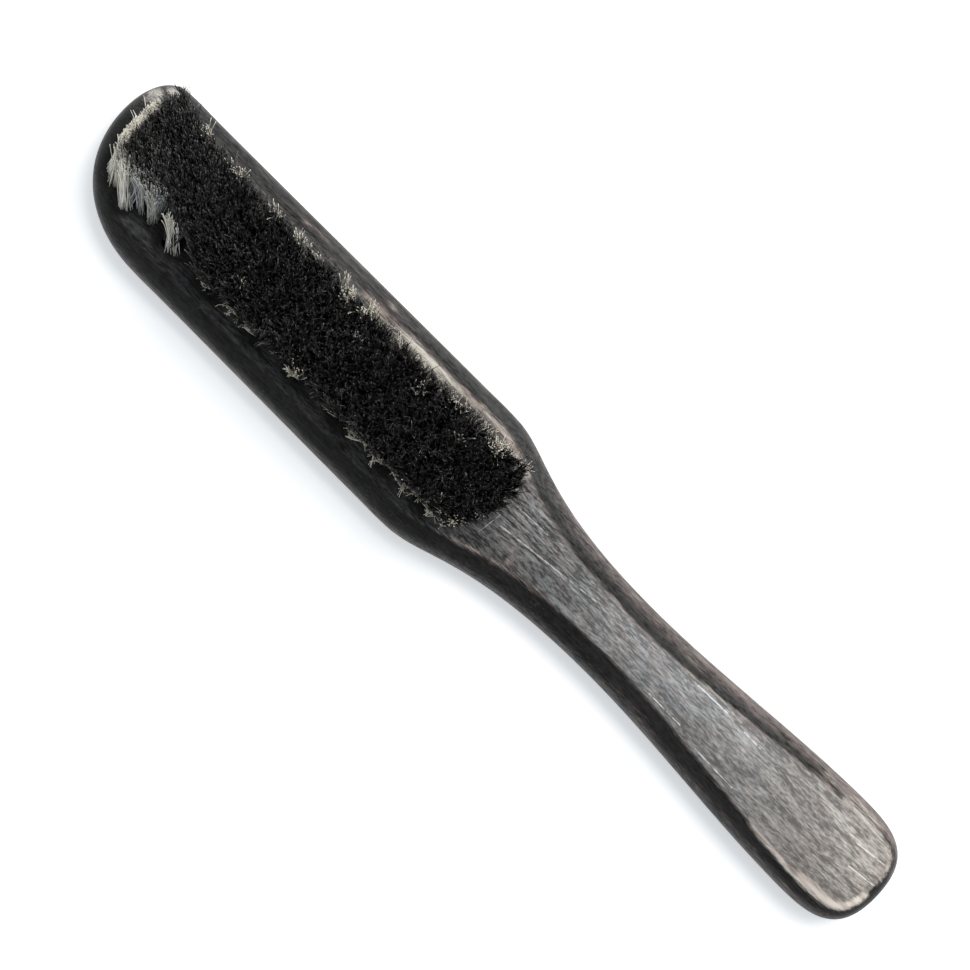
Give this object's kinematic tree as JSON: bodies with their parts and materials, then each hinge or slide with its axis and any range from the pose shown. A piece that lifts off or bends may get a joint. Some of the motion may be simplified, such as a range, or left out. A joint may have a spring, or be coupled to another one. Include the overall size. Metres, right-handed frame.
{
  "type": "fade brush",
  "caption": "Long narrow wooden barber's brush with a rounded head of staple-set bristle tufts and a waisted flat handle.",
  "frame": {"origin": "middle of the body's outline, on its flat back", "axes": "+X along the brush from the head to the handle's end, +Z out of the face that carries the bristles"},
  "size_m": [0.225, 0.035, 0.0285],
  "materials": {
    "stained_wood": "black stain, worn to bare wood along the edges, satin",
    "black_bristle": "stiff black animal bristle",
    "pale_bristle": "stiff undyed animal bristle"
  },
  "bodies": {
    "root": {"wooden_body": "stained_wood", "black_tuft_01": "black_bristle", "black_tuft_02": "black_bristle", "black_tuft_03": "black_bristle", "black_tuft_04": "black_bristle", "black_tuft_05": "black_bristle", "black_tuft_06": "black_bristle", "black_tuft_07": "black_bristle", "black_tuft_08": "black_bristle", "black_tuft_09": "black_bristle", "black_tuft_10": "black_bristle", "black_tuft_11": "black_bristle", "black_tuft_12": "black_bristle", "black_tuft_13": "black_bristle", "black_tuft_14": "black_bristle", "black_tuft_15": "black_bristle", "black_tuft_16": "black_bristle", "black_tuft_17": "black_bristle", "black_tuft_18": "black_bristle", "black_tuft_19": "black_bristle", "black_tuft_20": "black_bristle", "black_tuft_21": "black_bristle", "black_tuft_22": "black_bristle", "black_tuft_23": "black_bristle", "black_tuft_24": "black_bristle", "black_tuft_25": "black_bristle", "black_tuft_26": "black_bristle", "black_tuft_27": "black_bristle", "black_tuft_28": "black_bristle", "black_tuft_29": "black_bristle", "black_tuft_30": "black_bristle", "black_tuft_31": "black_bristle", "black_tuft_32": "black_bristle", "black_tuft_33": "black_bristle", "black_tuft_34": "black_bristle", "black_tuft_35": "black_bristle", "black_tuft_36": "black_bristle", "black_tuft_37": "black_bristle", "black_tuft_38": "black_bristle", "black_tuft_39": "black_bristle", "black_tuft_40": "black_bristle", "black_tuft_41": "black_bristle", "black_tuft_42": "black_bristle", "black_tuft_43": "black_bristle", "black_tuft_44": "black_bristle", "black_tuft_45": "black_bristle", "black_tuft_46": "black_bristle", "black_tuft_47": "black_bristle", "pale_tuft_01": "pale_bristle", "pale_tuft_02": "pale_bristle", "pale_tuft_03": "pale_bristle", "pale_tuft_04": "pale_bristle", "pale_tuft_05": "pale_bristle", "pale_tuft_06": "pale_bristle", "pale_tuft_07": "pale_bristle", "pale_tuft_08": "pale_bristle", "pale_tuft_09": "pale_bristle", "pale_tuft_10": "pale_bristle", "pale_tuft_11": "pale_bristle", "pale_tuft_12": "pale_bristle"}
  },
  "joints": []
}
